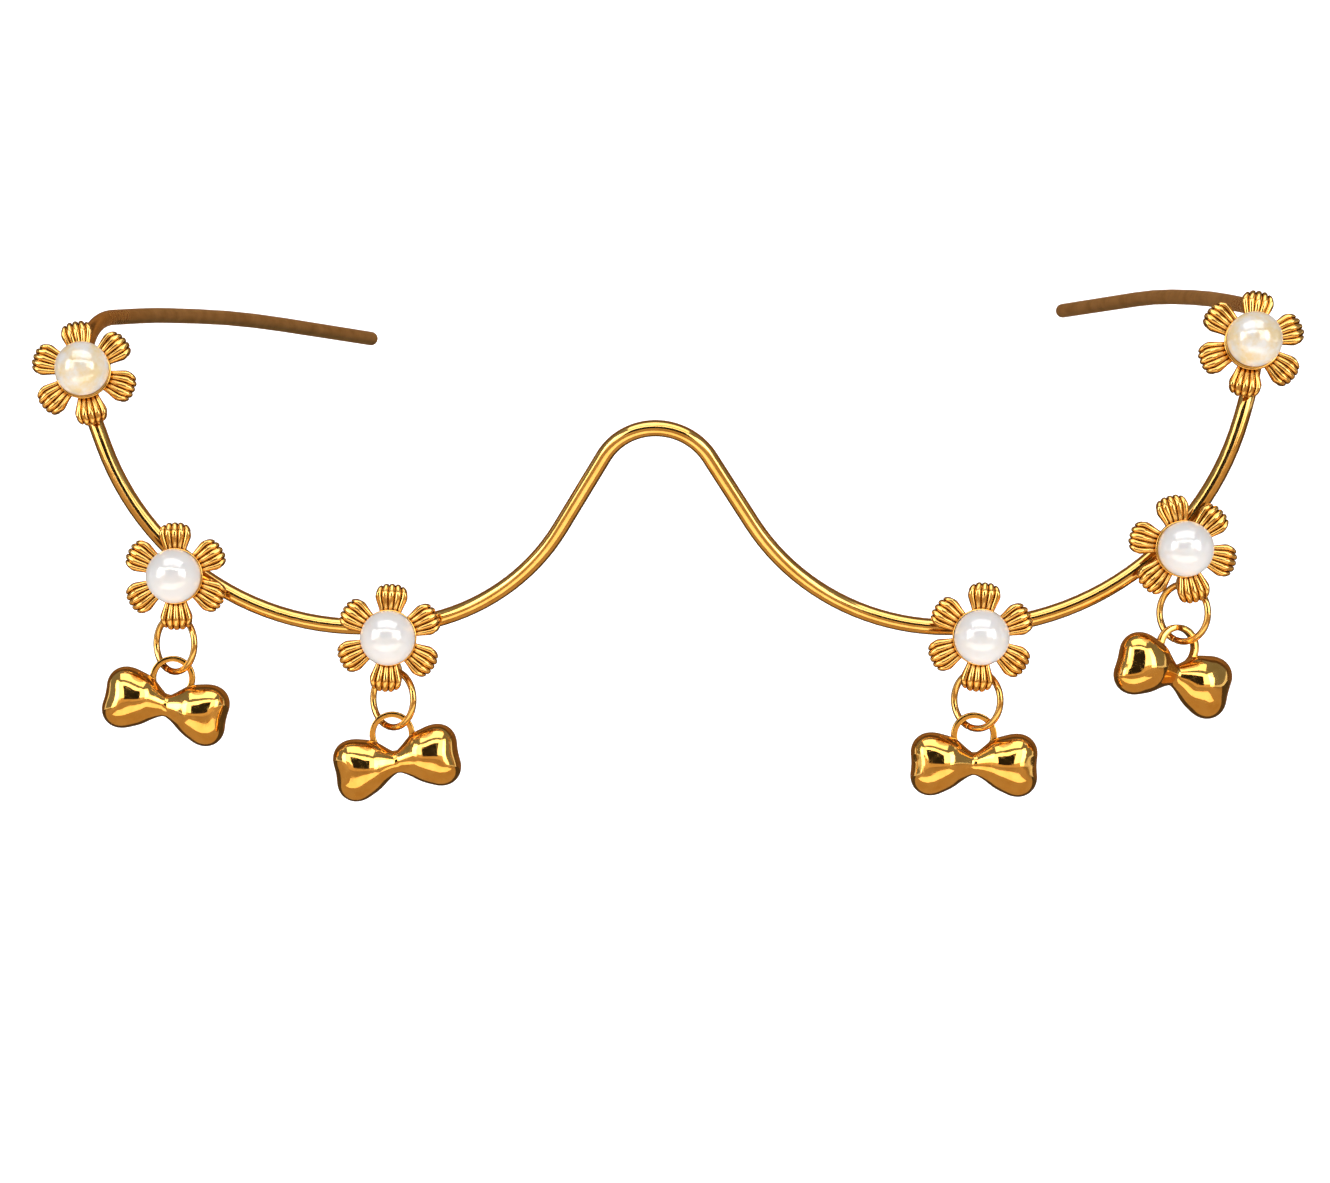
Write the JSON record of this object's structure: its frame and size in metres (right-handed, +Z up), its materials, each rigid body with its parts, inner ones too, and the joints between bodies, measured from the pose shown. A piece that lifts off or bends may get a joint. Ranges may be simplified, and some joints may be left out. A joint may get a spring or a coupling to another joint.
{
  "type": "wire face frame headpiece",
  "caption": "Lens-less wire face frame that rests on the nose like half-rim spectacles, with pearl-centred flowers along the wire and bow charms swinging from jump rings",
  "frame": {"origin": "underside of the nose bridge, on its centre line", "axes": "+X across the face to the right as seen from the front, +Y back along the arms towards the ears, +Z up"},
  "size_m": [0.141, 0.0862, 0.0604],
  "materials": {
    "satin_gold": "gold-plated drawn wire, polished on the front and satin along the arms",
    "polished_gold": "bright polished gold plating",
    "solder_gold": "plated solder and findings, slightly dull",
    "pearl": "white imitation pearl with a soft lustre"
  },
  "bodies": {
    "frame": {"frame_wire": "satin_gold", "flower_left_temple": "polished_gold", "pearl_left_temple": "pearl", "pearl_peg_left_temple": "solder_gold", "solder_saddle_left_temple": "solder_gold", "flower_left_outer": "polished_gold", "pearl_left_outer": "pearl", "pearl_peg_left_outer": "solder_gold", "solder_saddle_left_outer": "solder_gold", "flower_left_inner": "polished_gold", "pearl_left_inner": "pearl", "pearl_peg_left_inner": "solder_gold", "solder_saddle_left_inner": "solder_gold", "flower_right_inner": "polished_gold", "pearl_right_inner": "pearl", "pearl_peg_right_inner": "solder_gold", "solder_saddle_right_inner": "solder_gold", "flower_right_outer": "polished_gold", "pearl_right_outer": "pearl", "pearl_peg_right_outer": "solder_gold", "solder_saddle_right_outer": "solder_gold", "flower_right_temple": "polished_gold", "pearl_right_temple": "pearl", "pearl_peg_right_temple": "solder_gold", "solder_saddle_right_temple": "solder_gold", "eyelet_left_outer": "solder_gold", "eyelet_left_inner": "solder_gold", "eyelet_right_inner": "solder_gold", "eyelet_right_outer": "solder_gold"},
    "ring_left_outer": {"jump_ring_left_outer": "polished_gold"},
    "charm_left_outer": {"bow_charm_left_outer": "polished_gold"},
    "ring_left_inner": {"jump_ring_left_inner": "polished_gold"},
    "charm_left_inner": {"bow_charm_left_inner": "polished_gold"},
    "ring_right_inner": {"jump_ring_right_inner": "polished_gold"},
    "charm_right_inner": {"bow_charm_right_inner": "polished_gold"},
    "ring_right_outer": {"jump_ring_right_outer": "polished_gold"},
    "charm_right_outer": {"bow_charm_right_outer": "polished_gold"}
  },
  "joints": [
    {"name": "ring_swing_left_outer", "type": "hinge", "parent": "frame", "child": "ring_left_outer", "pos_m": [-0.05463, 0.00901, -0.0195], "axis": [0.809, -0.5878, 0], "range_deg": [-10, 60]},
    {"name": "charm_tilt_left_outer", "type": "hinge", "parent": "ring_left_outer", "child": "charm_left_outer", "pos_m": [-0.05498, 0.00927, -0.02647], "axis": [0.1045, -0.9945, 0], "range_deg": [-11.6, 36.4]},
    {"name": "ring_swing_left_inner", "type": "hinge", "parent": "frame", "child": "ring_left_inner", "pos_m": [-0.03001, 0.00848, -0.0256], "axis": [0.809, -0.5878, 0], "range_deg": [-10, 60]},
    {"name": "charm_tilt_left_inner", "type": "hinge", "parent": "ring_left_inner", "child": "charm_left_inner", "pos_m": [-0.03014, 0.00857, -0.0326], "axis": [0.1045, -0.9945, 0], "range_deg": [-34.5, 13.5]},
    {"name": "ring_swing_right_inner", "type": "hinge", "parent": "frame", "child": "ring_right_inner", "pos_m": [0.0345, 0.00848, -0.02555], "axis": [0.809, -0.5878, 0], "range_deg": [-10, 60]},
    {"name": "charm_tilt_right_inner", "type": "hinge", "parent": "ring_right_inner", "child": "charm_right_inner", "pos_m": [0.03414, 0.00874, -0.03252], "axis": [0.1045, -0.9945, 0], "range_deg": [-23, 25]},
    {"name": "ring_swing_right_outer", "type": "hinge", "parent": "frame", "child": "ring_right_outer", "pos_m": [0.05694, 0.00924, -0.016], "axis": [0.809, -0.5878, 0], "range_deg": [-10, 60]},
    {"name": "charm_tilt_right_outer", "type": "hinge", "parent": "ring_right_outer", "child": "charm_right_outer", "pos_m": [0.05629, 0.00972, -0.02289], "axis": [0.4695, -0.8829, 0], "range_deg": [-7.3, 40.7]}
  ]
}
